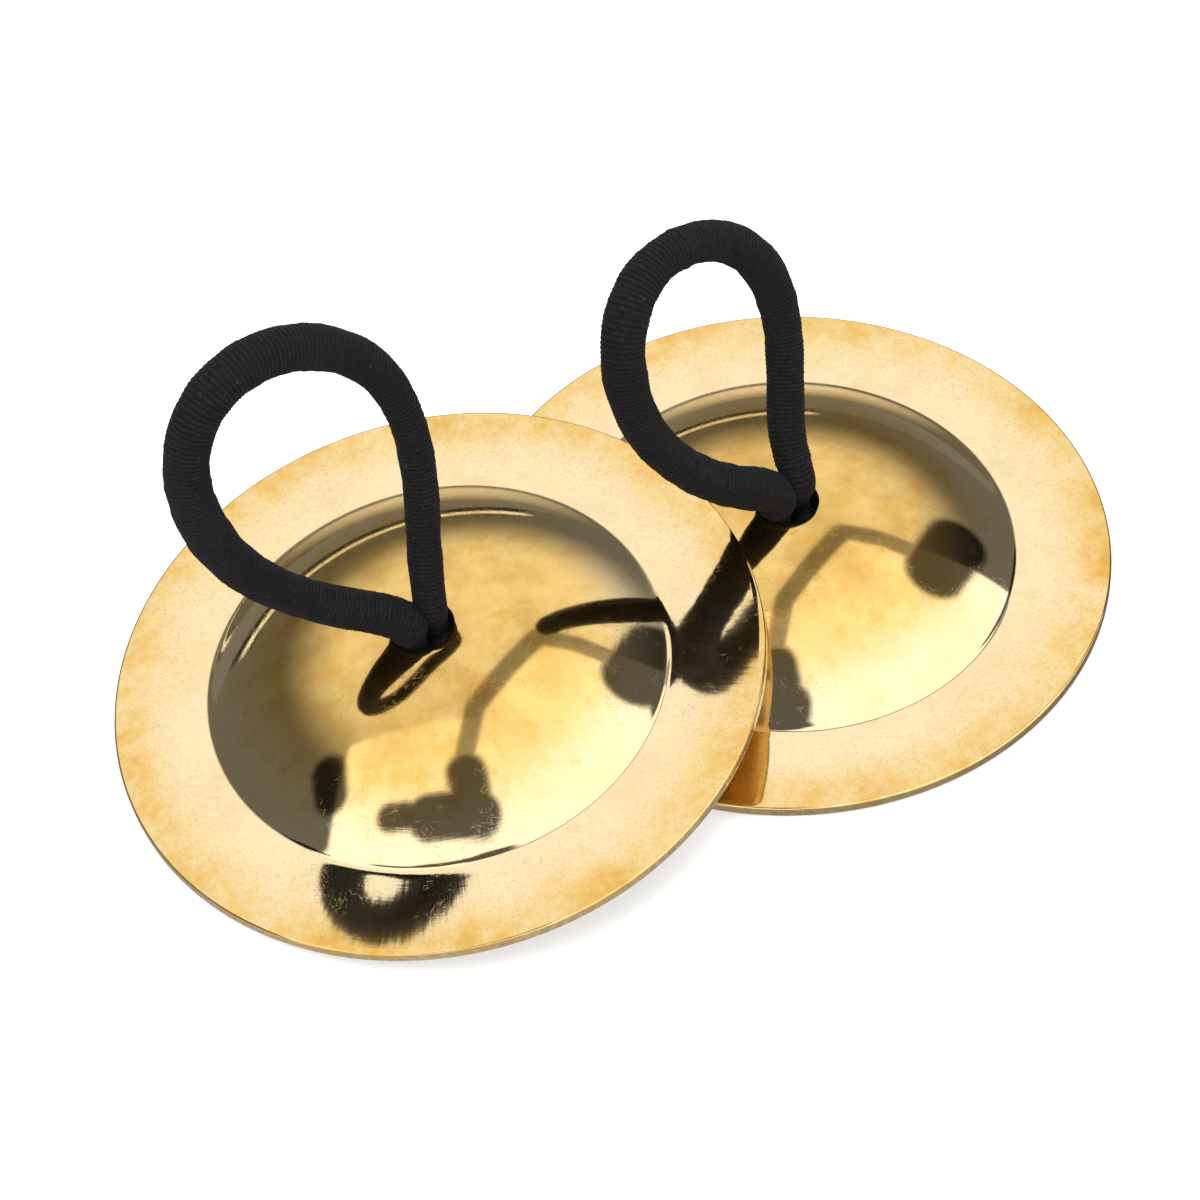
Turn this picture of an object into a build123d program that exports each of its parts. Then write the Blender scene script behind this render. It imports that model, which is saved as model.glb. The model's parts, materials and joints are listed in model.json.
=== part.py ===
from build123d import *
import os
from math import cos, pi, radians, sin, sqrt, tan

# A pair of finger cymbals. One lies flat; the other leans on its dome. Each has a
# finger loop of elastic cord that comes out of the crown hole and is knotted inside.

# Cymbal, spun from brass sheet
cymbal_diameter = 60.0
sheet_thickness = 1.1
dome_diameter = 42.4
dome_height = 7.5
hole_diameter = 5.6
edge_round = 0.3
foot_round = 1.2

# Elastic cord: a rubber core in a woven cover
cord_diameter = 3.8
core_diameter = 2.4

# Knot under the crown, pulled tight, with two cut tails
knot_diameter = 9.0
knot_round = 1.9
knot_flat = 0.4
tail_diameter = 3.2
tail_length = 7.5
tail_offset = 2.3
tail_drop = 0.4
tail_droop = 15.0

# How the pair lies: how far the front rim stops short of the back centre in plan, the
# bearings from +X, and the steepest lean that is tried
crown_clear = 5.95
front_bearing = 204.9
uphill_bearing = 20.7
steepest_lean = 30.0

# Finger loops: bearing of each loop's width and its backward lean, seen from its cymbal
front_loop_bearing = 2.6
front_loop_lean = 9.7
back_loop_bearing = 27.0
back_loop_lean = 8.0

# Clearances
rest_gap = 0.2
body_gap = 0.3
strand_gap = 0.1
hole_gap = 0.25

# Cord routes in the plane of each loop, from the right strand round to the left one
front_route = [
    (1.3, 0.0), (2.6, 6.4), (4.4, 13.4), (5.3, 20.8), (4.1, 27.8), (0.2, 32.8),
    (-5.2, 34.8), (-11.2, 33.1), (-15.2, 27.6), (-16.1, 20.4), (-14.0, 12.9),
    (-8.6, 6.3), (-1.3, 0.0),
]
back_route = [
    (1.3, 0.0), (0.5, 5.8), (1.1, 12.4), (1.5, 19.0), (0.4, 25.4), (-2.6, 30.1),
    (-6.9, 32.2), (-11.5, 31.0), (-14.3, 26.0), (-14.8, 19.4), (-13.2, 12.5),
    (-9.6, 6.4), (-5.3, 2.1), (-1.3, 0.0),
]
arc_share = 0.45

# Where the front rim's underside is tested against the back dome: shares of its radius,
# and bearings either side of the uphill one
tested_shares = (1.0, 0.95, 0.9, 0.85, 0.8, 0.75)
tested_turns = range(-40, 41, 2)
lean_halvings = 30

# Worked out from the values above
rim_radius = cymbal_diameter / 2
foot_radius = dome_diameter / 2
centre_distance = rim_radius + crown_clear
dome_sphere = (foot_radius**2 + dome_height**2) / (2 * dome_height)
hollow_sphere = dome_sphere - sheet_thickness
crown_height = sheet_thickness + dome_height
sphere_centre = crown_height - dome_sphere
hollow_foot = sqrt(hollow_sphere**2 - sphere_centre**2)
squeezed_diameter = (hole_diameter - strand_gap) / 2 - hole_gap
strand_offset = (squeezed_diameter + strand_gap) / 2
pivot_height = crown_height + cord_diameter / 2 + body_gap
knot_thickness = 2 * knot_round + knot_flat
knot_reach = hollow_sphere - knot_round - body_gap
knot_shoulder = knot_diameter / 2 - knot_round
knot_top = sphere_centre + sqrt(knot_reach**2 - knot_shoulder**2) + knot_round
knot_middle = knot_top - knot_thickness / 2


def heading(bearing, climb=0.0):
    """Unit vector at a bearing from +X, climbing by an angle, both in degrees."""
    flat = cos(radians(climb))
    return Vector(flat * cos(radians(bearing)), flat * sin(radians(bearing)), sin(radians(climb)))


def leaning_plane(lean):
    """Underside of the front cymbal when its low edge is on the table, about the back centre."""
    low_edge = rim_radius - edge_round
    height = low_edge * sin(radians(lean)) + edge_round * (1 - cos(radians(lean)))
    centre = heading(front_bearing) * centre_distance + Vector(0, 0, height)
    uphill = heading(uphill_bearing, lean)
    return Plane(origin=centre, x_dir=uphill, z_dir=heading(uphill_bearing, lean + 90))


def dome_clearance(lean):
    """Smallest distance from the front rim's flat underside to the back cymbal's dome."""
    plane = leaning_plane(lean)
    ball = Vector(0, 0, sphere_centre)
    gaps = []
    for share in tested_shares:
        radius = share * (rim_radius - edge_round)
        for turn in tested_turns:
            point = plane.from_local_coords(heading(turn) * radius)
            gaps.append((point - ball).length - dome_sphere)
    return min(gaps)


def resting_lean():
    """Lean at which the front rim just rests on the back dome, found by halving."""
    low = 0.0
    high = steepest_lean
    for _ in range(lean_halvings):
        middle = (low + high) / 2
        if dome_clearance(middle) < rest_gap:
            low = middle
        else:
            high = middle
    return high


def pair_shift(plane):
    """Moves the middle of the pair's outline to the origin, on the table."""
    edge = rim_radius - edge_round
    far = []
    for tip in (plane.z_dir.X, plane.z_dir.Y):
        far.append((sheet_thickness - edge_round) * tip - edge * sqrt(1 - tip**2) - edge_round)
    left = plane.origin.X + far[0]
    near = plane.origin.Y + far[1]
    return Vector(-(left + rim_radius) / 2, -(near + rim_radius) / 2, 0)


def loop_plane(bearing, lean):
    """Plane of a finger loop in its cymbal's frame: X across the loop, Y up it."""
    across = heading(bearing)
    facing = heading(bearing - 90, lean)
    return Plane(origin=(0, 0, pivot_height), x_dir=across, z_dir=facing)


def bend_radii(route):
    """Radius of the arc at each inner point: a fixed share of the shorter run beside it."""
    radii = []
    for before, here, after in zip(route, route[1:], route[2:]):
        arriving = Vector(*here) - Vector(*before)
        leaving = Vector(*after) - Vector(*here)
        half_turn = radians(arriving.get_angle(leaving)) / 2
        radii.append(arc_share * min(arriving.length, leaving.length) / tan(half_turn))
    return radii


def cord_wires(plane, route):
    """The cord's centreline as two wires that meet at the top of the loop."""
    with BuildLine(plane) as line:
        FilletPolyline(*route, radius=bend_radii(route))
    edges = line.edges().sort_by(line.wire())
    half = len(edges) // 2
    return Wire(edges[:half]), Wire(edges[half:])


def cord_tube(path, diameter):
    """A round tube along one wire."""
    with BuildPart() as tube:
        with BuildSketch(Plane(origin=path @ 0, z_dir=path % 0)):
            Circle(diameter / 2)
        sweep(path=path)
    return tube.part


def make_cymbal():
    """A flat rim round a domed middle, with the cord hole at the crown."""
    with BuildPart() as cymbal:
        with BuildSketch(Plane.XZ) as section:
            with BuildLine():
                outer = TangentArc((0, crown_height), (foot_radius, sheet_thickness), tangent=(1, 0))
                Polyline(
                    outer @ 1,
                    (rim_radius, sheet_thickness),
                    (rim_radius, 0),
                    (hollow_foot, 0),
                )
                inner = TangentArc(
                    (0, crown_height - sheet_thickness), (hollow_foot, 0), tangent=(1, 0)
                )
                Line(inner @ 0, outer @ 0)
            make_face()
            corners = section.vertices()
            rim_corners = corners.filter_by(lambda corner: corner.X > rim_radius - edge_round)
            fillet(rim_corners, radius=edge_round)
            top_foot = section.vertices().sort_by_distance((foot_radius, sheet_thickness))[0]
            fillet(top_foot, radius=foot_round)
            under_foot = section.vertices().sort_by_distance((hollow_foot, 0))[0]
            fillet(under_foot, radius=foot_round + sheet_thickness)
        revolve(axis=Axis.Z)
        with Locations((0, 0, crown_height)):
            Hole(radius=hole_diameter / 2)
    return cymbal.part


def make_core(wires):
    """The rubber core, all round the loop."""
    with BuildPart() as core:
        for wire in wires:
            add(cord_tube(wire, core_diameter))
    return core.part


def make_cover(wires, core):
    """The woven cover, closed round the core and rounded where both strands meet."""
    with BuildPart() as cover:
        for wire in wires:
            add(cord_tube(wire, cord_diameter))
        with Locations(wires[0] @ 0, wires[1] @ 1):
            Sphere(radius=cord_diameter / 2)
        add(core, mode=Mode.SUBTRACT)
    return cover.part


def make_knot(bearing):
    """The knot inside the dome, with both strands rising through the hole."""
    with BuildPart() as knot:
        with Locations((0, 0, knot_middle)):
            Cylinder(radius=knot_diameter / 2, height=knot_thickness)
        fillet(knot.edges().filter_by(GeomType.CIRCLE), radius=knot_round)
        with BuildSketch(Plane.XY.offset(knot_middle)):
            with Locations((-strand_offset, 0), (strand_offset, 0)):
                Circle(squeezed_diameter / 2)
        extrude(amount=crown_height - knot_middle)
        for side in (-1, 1):
            root = (0, side * tail_offset, knot_middle - tail_drop)
            with Locations(Location(root, (0, side * (90 + tail_droop), 0))):
                Cylinder(
                    radius=tail_diameter / 2,
                    height=tail_length,
                    align=(Align.CENTER, Align.CENTER, Align.MIN),
                )
    return knot.part.moved(Rotation(0, 0, bearing))


def save(piece, place, name):
    """Put a piece in its place in the pair and write it as one file."""
    placed = piece.moved(place)
    placed.label = name
    export_step(placed, f"parts/{name}.step")
    return placed


def save_cymbal(place, side, bearing, lean, route):
    """Everything that belongs to one cymbal."""
    wires = cord_wires(loop_plane(bearing, lean), route)
    core = make_core(wires)
    cover = make_cover(wires, core)
    length = wires[0].length + wires[1].length
    section = pi * core_diameter**2 / 4
    print(side, "cord length", round(length, 1), "bends", [round(r, 1) for r in bend_radii(route)])
    print(side, "core volume", round(core.volume, 2), "section x length", round(section * length, 2))
    save(make_cymbal(), place, f"{side}_cymbal")
    save(make_knot(bearing), place, f"{side}_knot")
    save(core, place, f"{side}_loop_core")
    save(cover, place, f"{side}_loop_cover")


os.makedirs("parts", exist_ok=True)
lean_angle = resting_lean()
front_rest = leaning_plane(lean_angle)
shift = pair_shift(front_rest)
front_place = Location(Plane(front_rest.origin + shift, front_rest.x_dir, front_rest.z_dir))
back_place = Location(shift)
print("lean", round(lean_angle, 3), "front", front_place, "back", back_place)
save_cymbal(back_place, "back", back_loop_bearing, back_loop_lean, back_route)
save_cymbal(front_place, "front", front_loop_bearing, front_loop_lean, front_route)
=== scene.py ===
# %% [markdown]
# A pair of finger cymbals. One lies flat and the other leans on its dome. Each is spun
# from brass sheet and has a finger loop of black elastic cord, knotted under its crown.
# The imported CAD model is loaded first and stays fixed: it says where everything sits.
# Each visible piece is then remade in finer detail; the cymbals and knots ride on their bodies.

# %% Load the frame
import json
from math import pi, radians, sqrt

import bpy
import numpy as np
from mathutils import Matrix, Vector


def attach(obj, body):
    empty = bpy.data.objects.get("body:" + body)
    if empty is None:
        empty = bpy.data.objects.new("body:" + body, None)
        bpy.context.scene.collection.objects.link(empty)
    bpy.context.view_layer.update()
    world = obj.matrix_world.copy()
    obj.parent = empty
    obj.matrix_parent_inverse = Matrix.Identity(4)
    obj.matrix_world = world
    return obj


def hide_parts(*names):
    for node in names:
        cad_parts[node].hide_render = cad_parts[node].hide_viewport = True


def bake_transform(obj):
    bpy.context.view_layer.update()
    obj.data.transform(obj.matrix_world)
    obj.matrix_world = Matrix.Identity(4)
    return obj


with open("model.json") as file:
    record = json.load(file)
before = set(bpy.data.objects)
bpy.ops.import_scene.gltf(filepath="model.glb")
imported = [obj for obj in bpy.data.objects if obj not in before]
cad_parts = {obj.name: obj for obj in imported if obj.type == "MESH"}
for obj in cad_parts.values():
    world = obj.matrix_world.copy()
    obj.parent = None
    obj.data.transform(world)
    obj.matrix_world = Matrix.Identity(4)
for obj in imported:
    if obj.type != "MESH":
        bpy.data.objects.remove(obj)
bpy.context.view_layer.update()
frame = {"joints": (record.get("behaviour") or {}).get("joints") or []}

MM = 0.001
bpy.ops.object.select_all(action="DESELECT")
joints = {joint["name"]: joint for joint in frame["joints"]}

# %% [markdown]
# Sizes are those of the CAD model, in millimetres: the disc, its domed middle, the cord
# hole, and the cord. They are estimates, because no size of the real pair was measured.
# The dome's sphere and the heights of its crown and of the loop's pivot follow from them.

# %% Driving sizes
CYMBAL_RADIUS = 30.0
SHEET = 1.1
DOME_FOOT_RADIUS = 21.2
DOME_HEIGHT = 7.5
HOLE_RADIUS = 2.8
FOOT_SOFTNESS = 0.22
STRAND_OFFSET = 1.3
PIVOT_OVER_CROWN = 2.2

DOME_SPHERE = (DOME_FOOT_RADIUS**2 + DOME_HEIGHT**2) / (2 * DOME_HEIGHT)
CROWN = SHEET + DOME_HEIGHT
PIVOT_HEIGHT = CROWN + PIVOT_OVER_CROWN
print("dome sphere radius", round(DOME_SPHERE, 2), "mm")

# %% [markdown]
# Each cymbal has its own seat: a place and a tilt. The joints already hold both. A knot
# turns about its cymbal's axis and a loop leans about the line across its base, so the
# two axes and their shared point give a full set of directions to build in.

# %% Where each cymbal sits
def seat_of(side):
    """Matrix from a cymbal's own millimetres to the pair, with X across its loop."""
    turn = joints[f"{side}_knot_turn"]
    normal = Vector(turn["axis"]).normalized()
    across = Vector(joints[f"{side}_loop_lean"]["axis"])
    across = (across - normal * across.dot(normal)).normalized()
    away = normal.cross(across)
    origin = Vector(turn["pos_m"]) - normal * PIVOT_HEIGHT * MM
    turned = Matrix((across, away, normal)).transposed().to_4x4()
    return Matrix.Translation(origin) @ turned @ Matrix.Scale(MM, 4)


seats = {side: seat_of(side) for side in ("front", "back")}
for side, seat in seats.items():
    print(side, "seat", [round(value, 4) for value in seat.translation])

# %% [markdown]
# The camera comes next, because every comparison needs it. It stands in front of the
# pair and looks down at about fifty degrees, through a long lens that keeps the circles
# from stretching. It is rolled by three and a half degrees.

# %% Camera
CAMERA_PLACE = (-0.001443, -0.292272, 0.356407)
CAMERA_PITCH = 39.746
CAMERA_ROLL = -3.5025
LENS_LENGTH = 150
SENSOR_WIDTH = 36

lens = bpy.data.cameras.new("camera")
lens.lens = LENS_LENGTH
lens.sensor_width = SENSOR_WIDTH
camera = bpy.data.objects.new("camera", lens)
camera.matrix_world = (
    Matrix.Translation(CAMERA_PLACE)
    @ Matrix.Rotation(radians(CAMERA_PITCH), 4, "X")
    @ Matrix.Rotation(radians(CAMERA_ROLL), 4, "Z")
)
bpy.context.collection.objects.link(camera)
bpy.context.scene.camera = camera
bpy.context.scene.view_settings.view_transform = "Standard"
print("camera", lens.lens, "mm lens")

# %% [markdown]
# Helpers for node trees. A material is a chain of small boxes, and these calls keep the
# chains short: one adds a box and fills its inputs, some do arithmetic, one turns a
# distance into a soft-edged mask, and the last ones mix colours and make node groups.

# %% Node helpers
def add(tree, kind, inputs=None, **settings):
    """Add a node, set its properties, then fill inputs with values or links."""
    made = tree.nodes.new(kind)
    for name, value in settings.items():
        setattr(made, name, value)
    for name, value in (inputs or {}).items():
        if isinstance(value, bpy.types.NodeSocket):
            tree.links.new(value, made.inputs[name])
        else:
            made.inputs[name].default_value = value
    return made


def calc(tree, operation, first, second=0.0):
    """One arithmetic step."""
    return add(tree, "ShaderNodeMath", {0: first, 1: second}, operation=operation).outputs[0]


def times(tree, first, second):
    """Two values or masks multiplied."""
    return calc(tree, "MULTIPLY", first, second)


def plus(tree, first, second):
    """Two values or masks added."""
    return calc(tree, "ADD", first, second)


def fade(tree, value, start, end, low=0.0, high=1.0):
    """Smooth step from low at start to high at end."""
    names = {"Value": value, "From Min": start, "From Max": end, "To Min": low, "To Max": high}
    step = add(tree, "ShaderNodeMapRange", names, interpolation_type="SMOOTHSTEP")
    return step.outputs["Result"]


def tint(tree, mask, under, over):
    """Mix two colours by a mask."""
    mixer = add(tree, "ShaderNodeMix", data_type="RGBA")
    for place, value in ((0, mask), (6, under), (7, over)):
        if isinstance(value, bpy.types.NodeSocket):
            tree.links.new(value, mixer.inputs[place])
        else:
            mixer.inputs[place].default_value = value
    return mixer.outputs[2]


def noise(tree, vector, scale, detail=2.0, rough=0.5):
    """Plain cloudy noise, 0 to 1."""
    names = {"Vector": vector, "Scale": scale, "Detail": detail, "Roughness": rough}
    return add(tree, "ShaderNodeTexNoise", names).outputs["Fac"]


def new_group(name, takes, gives):
    """A shader node group with named inputs and outputs."""
    group = bpy.data.node_groups.new(name, "ShaderNodeTree")
    for label, kind in takes:
        group.interface.new_socket(label, in_out="INPUT", socket_type=kind)
    for label, kind in gives:
        group.interface.new_socket(label, in_out="OUTPUT", socket_type=kind)
    return group, group.nodes.new("NodeGroupInput").outputs, group.nodes.new("NodeGroupOutput").inputs


def use_group(tree, group, inputs):
    """Place a node group in a material."""
    return add(tree, "ShaderNodeGroup", inputs, node_tree=group).outputs

# %% [markdown]
# Polished metal shows the room more than itself, so the studio matters as much as the
# brass. The light is drawn on the sky by direction: a broad soft light behind the pair,
# a brighter one overhead on the near side, a narrow dark gap along their border, and a
# few plain dark shapes. Directions are laid out flat, in degrees from straight up, with
# +X to the right and +Y away, so each one is a simple disc or strip. Low down behind the
# pair the table's far edge shows as a thin bright line.

# %% Studio sky
FAR_LIGHT = {"centre": (0, 26), "radius": 47, "edge": 11, "level": 1.06}
NEAR_LIGHT = {"left": -46, "right": 76, "near": -80, "level": 1.36, "splay": 0.5}
NEAR_LIGHT_EDGES = {"left": 1.5, "right": 9, "near": 8, "border": 0.8}
DARK_LEVEL = 0.15
GAP_LINE = ((-5, -12), (-1, 3), (17, 28), (27, 27.5), (40, 25))
GAP_HALF_WIDTH = 3.0
GAP_EDGE = 0.5
GAP_LEVEL = 0.3
DARK_SHAPES = (
    ((44, 20), (50, 36), 9), ((-49, -13), (-48, -6), 6), ((-5, -18), (-4, -24), 6.5),
    ((-31, -27), (-20, -29), 4.5), ((-18, -30), (-2, -31), 7.5),
)
SHAPE_EDGE = 1.5
SHAPE_LEVEL = 0.08
TABLE_BEHIND = (58, 62)
TABLE_LEFT_OF = (14, 10)
TABLE_SHADE = 0.85
TABLE_SHADE_EDGE = (1.2, 0.8)
TABLE_EDGE = (86.3, 88.3)
TABLE_EDGE_SOFTNESS = 0.3
TABLE_EDGE_LEVEL = 1.1
LAMP_WHITE = (1.0, 0.985, 0.94, 1)
WHITE = (1, 1, 1, 1)

world = bpy.data.worlds.new("studio")
bpy.context.scene.world = world
world.use_nodes = True
sky = world.node_tree
sky.nodes.clear()


def flat_direction(tree):
    """The view direction as degrees from straight up, split along X and Y."""
    toward = add(tree, "ShaderNodeTexCoord").outputs["Generated"]
    unit = add(tree, "ShaderNodeVectorMath", {0: toward}, operation="NORMALIZE").outputs[0]
    parts = add(tree, "ShaderNodeSeparateXYZ", {0: unit}).outputs
    tilt = calc(tree, "MULTIPLY", calc(tree, "ARCCOSINE", parts[2]), 180 / pi)
    level = add(tree, "ShaderNodeCombineXYZ", {0: parts[0], 1: parts[1]}).outputs[0]
    level = add(tree, "ShaderNodeVectorMath", {0: level}, operation="NORMALIZE").outputs[0]
    spread = add(tree, "ShaderNodeVectorMath", {0: level, "Scale": tilt}, operation="SCALE")
    return spread.outputs[0], tilt


def distance_to(tree, place, centre):
    """Degrees from a point on the flat sky."""
    names = {0: place, 1: (centre[0], centre[1], 0)}
    return add(tree, "ShaderNodeVectorMath", names, operation="DISTANCE").outputs["Value"]


def distance_to_strip(tree, place, start, end):
    """Degrees from a straight strip on the flat sky."""
    run = Vector(end) - Vector(start)
    offset = add(tree, "ShaderNodeVectorMath", {0: place, 1: (*start, 0)}, operation="SUBTRACT")
    along = add(tree, "ShaderNodeVectorMath", {0: offset.outputs[0], 1: (*run, 0)}, operation="DOT_PRODUCT")
    share = calc(tree, "DIVIDE", along.outputs["Value"], run.length_squared)
    share = add(tree, "ShaderNodeClamp", {"Value": share}).outputs[0]
    names = {0: (*run, 0), "Scale": share}
    foot = add(tree, "ShaderNodeVectorMath", names, operation="SCALE").outputs[0]
    names = {0: offset.outputs[0], 1: foot}
    return add(tree, "ShaderNodeVectorMath", names, operation="DISTANCE").outputs["Value"]


def near_light(tree, parts):
    """Mask of the near light: it ends at the gap's line and splays out to the left."""
    turn, corner = GAP_LINE[1:3]
    slope = (corner[1] - turn[1]) / (corner[0] - turn[0])
    border = times(tree, calc(tree, "MAXIMUM", parts[0], 0.0), slope)
    border = calc(tree, "MINIMUM", border, corner[1])
    beyond = calc(tree, "SUBTRACT", parts[1], border)
    splay = times(tree, calc(tree, "SUBTRACT", parts[1], GAP_LINE[0][1]), NEAR_LIGHT["splay"])
    inwards = calc(tree, "SUBTRACT", parts[0], splay)
    mask = fade(tree, beyond, NEAR_LIGHT_EDGES["border"], -NEAR_LIGHT_EDGES["border"])
    for value, side, outward in ((inwards, "left", -1), (parts[0], "right", 1), (parts[1], "near", -1)):
        edge = NEAR_LIGHT_EDGES[side] * outward
        mask = times(tree, mask, fade(tree, value, NEAR_LIGHT[side] + edge, NEAR_LIGHT[side] - edge))
    return mask


def dark_things(tree, place):
    """What the gap and the dark shapes leave of the light, as one smooth mask."""
    clear = 1.0
    for start, stop in zip(GAP_LINE, GAP_LINE[1:]):
        gap = distance_to_strip(tree, place, start, stop)
        gap = fade(tree, gap, GAP_HALF_WIDTH - GAP_EDGE, GAP_HALF_WIDTH + GAP_EDGE, GAP_LEVEL)
        clear = calc(tree, "MINIMUM", clear, gap)
    for start, stop, half_width in DARK_SHAPES:
        spot = distance_to_strip(tree, place, start, stop)
        spot = fade(tree, spot, half_width - SHAPE_EDGE, half_width + SHAPE_EDGE, SHAPE_LEVEL)
        clear = calc(tree, "MINIMUM", clear, spot)
    return clear


def studio_level(tree):
    """Brightness of the studio in each direction, as polished brass sees it."""
    place, tilt = flat_direction(tree)
    parts = add(tree, "ShaderNodeSeparateXYZ", {0: place}).outputs
    reach = distance_to(tree, place, FAR_LIGHT["centre"])
    far = fade(
        tree, reach, FAR_LIGHT["radius"] + FAR_LIGHT["edge"], FAR_LIGHT["radius"] - FAR_LIGHT["edge"],
        DARK_LEVEL, FAR_LIGHT["level"],
    )
    near = times(tree, near_light(tree, parts), NEAR_LIGHT["level"])
    level = times(tree, calc(tree, "MAXIMUM", far, near), dark_things(tree, place))
    behind = times(tree, fade(tree, parts[1], *TABLE_BEHIND), fade(tree, parts[0], *TABLE_LEFT_OF))
    below = fade(tree, tilt, TABLE_EDGE[0] - TABLE_SHADE_EDGE[0], TABLE_EDGE[0] - TABLE_SHADE_EDGE[1])
    shade = times(tree, times(tree, below, behind), TABLE_SHADE)
    level = times(tree, level, calc(tree, "SUBTRACT", 1.0, shade))
    edge = times(
        tree, fade(tree, tilt, TABLE_EDGE[0], TABLE_EDGE[0] + TABLE_EDGE_SOFTNESS),
        fade(tree, tilt, TABLE_EDGE[1], TABLE_EDGE[1] - TABLE_EDGE_SOFTNESS),
    )
    return calc(tree, "MAXIMUM", level, times(tree, edge, times(tree, behind, TABLE_EDGE_LEVEL)))


glossy_sky = add(sky, "ShaderNodeBackground", {"Color": LAMP_WHITE, "Strength": studio_level(sky)})
plain_sky = add(sky, "ShaderNodeBackground", {"Color": WHITE, "Strength": 1.0})
rays = add(sky, "ShaderNodeLightPath").outputs
chosen = add(
    sky, "ShaderNodeMixShader",
    {0: rays["Is Glossy Ray"], 1: plain_sky.outputs[0], 2: glossy_sky.outputs[0]},
)
add(sky, "ShaderNodeOutputWorld", {"Surface": chosen.outputs[0]})
print("studio sky nodes", len(sky.nodes))

# %% [markdown]
# The floor is a plain pale sheet. Brass would pick it up as a bright collar round each
# dome, which a real tabletop that falls into shade doesn't give, so reflections see it
# darker behind the pair than in front, where it brightens the cut edges. Two large area
# lights give the cord some shape without showing in the metal.

# %% Floor and lights
FLOOR_RADIUS = 0.6
FLOOR_BEHIND = 0.2
FLOOR_IN_FRONT = 0.75
FLOOR_TURNS = (-0.045, 0.0)
FLOOR_DROP = 0.0001
FLOOR_GREY = (0.62, 0.62, 0.62, 1)
FLOOR_GLOW = 0.52
FLOOR_TONE = (1, 0.97, 0.93, 1)

bpy.ops.mesh.primitive_circle_add(vertices=96, radius=FLOOR_RADIUS, fill_type="NGON")
floor = bpy.context.object
floor.name = "floor"
floor.location = (0, 0, -FLOOR_DROP)
pale = bpy.data.materials.new("pale_floor")
pale.use_nodes = True
tree = pale.node_tree
tree.nodes.clear()
white = add(tree, "ShaderNodeBsdfDiffuse", {"Color": FLOOR_GREY})
lift = add(tree, "ShaderNodeEmission", {"Color": WHITE, "Strength": FLOOR_GLOW})
lit = add(tree, "ShaderNodeAddShader", {0: white.outputs[0], 1: lift.outputs[0]})
spot = add(tree, "ShaderNodeTexCoord").outputs["Object"]
toward_back = add(tree, "ShaderNodeSeparateXYZ", {0: spot}).outputs[1]
seen = fade(tree, toward_back, *FLOOR_TURNS, FLOOR_IN_FRONT, FLOOR_BEHIND)
shade = add(tree, "ShaderNodeEmission", {"Color": FLOOR_TONE, "Strength": seen})
rays = add(tree, "ShaderNodeLightPath").outputs
both = add(tree, "ShaderNodeMixShader", {0: rays["Is Glossy Ray"], 1: lit.outputs[0], 2: shade.outputs[0]})
add(tree, "ShaderNodeOutputMaterial", {"Surface": both.outputs[0]})
floor.data.materials.append(pale)


def soft_light(name, place, size, watts):
    """A square area light that points at the pair and stays out of reflections."""
    data = bpy.data.lights.new(name, "AREA")
    data.size = size
    data.energy = watts
    light = bpy.data.objects.new(name, data)
    light.location = place
    light.rotation_euler = Vector(place).to_track_quat("Z", "Y").to_euler()
    light.visible_glossy = False
    bpy.context.collection.objects.link(light)


soft_light("key", (-0.25, -0.25, 0.8), 0.5, 4.0)
soft_light("top", (0.3, 0.35, 0.7), 0.6, 3.0)
print("floor radius", FLOOR_RADIUS)

# %% [markdown]
# A cymbal is spun: sheet brass is pressed over a turning former, so every section
# through the middle is the same. Here an edge loop starts at the cord hole and is
# extruded outwards ring by ring, following a dome that melts into a flat rim. Rings are
# packed closely where the metal turns, at the foot. Solidify then gives the sheet its
# thickness, and a small bevel takes the sharpness off both edges, as burnishing does.

# %% Spin a cymbal
RING_STEP = 0.6
FINE_STEP = 0.14
FINE_REACH = 1.4
SECTIONS = 256
EDGE_ROUND = 0.22
SHARP_ANGLE = radians(50)


def top_height(radius):
    """Height of the top face over the underside, with a soft turn at the dome's foot."""
    dome = sqrt(DOME_SPHERE**2 - radius**2) - (DOME_SPHERE - DOME_HEIGHT)
    return SHEET + (dome + sqrt(dome**2 + FOOT_SOFTNESS**2)) / 2


def ring_radii():
    """Ring radii from the hole to the rim, close together at the foot."""
    radii = [HOLE_RADIUS]
    while radii[-1] < CYMBAL_RADIUS - RING_STEP:
        near_foot = abs(radii[-1] - DOME_FOOT_RADIUS) < FINE_REACH
        radii.append(radii[-1] + (FINE_STEP if near_foot else RING_STEP))
    return radii[:-1] + [CYMBAL_RADIUS]


def place_piece(piece, seat):
    """Move a piece from its own millimetres to its seat, with the place in its mesh."""
    piece.data.transform(seat @ piece.matrix_basis)
    piece.matrix_basis = Matrix.Identity(4)


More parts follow.
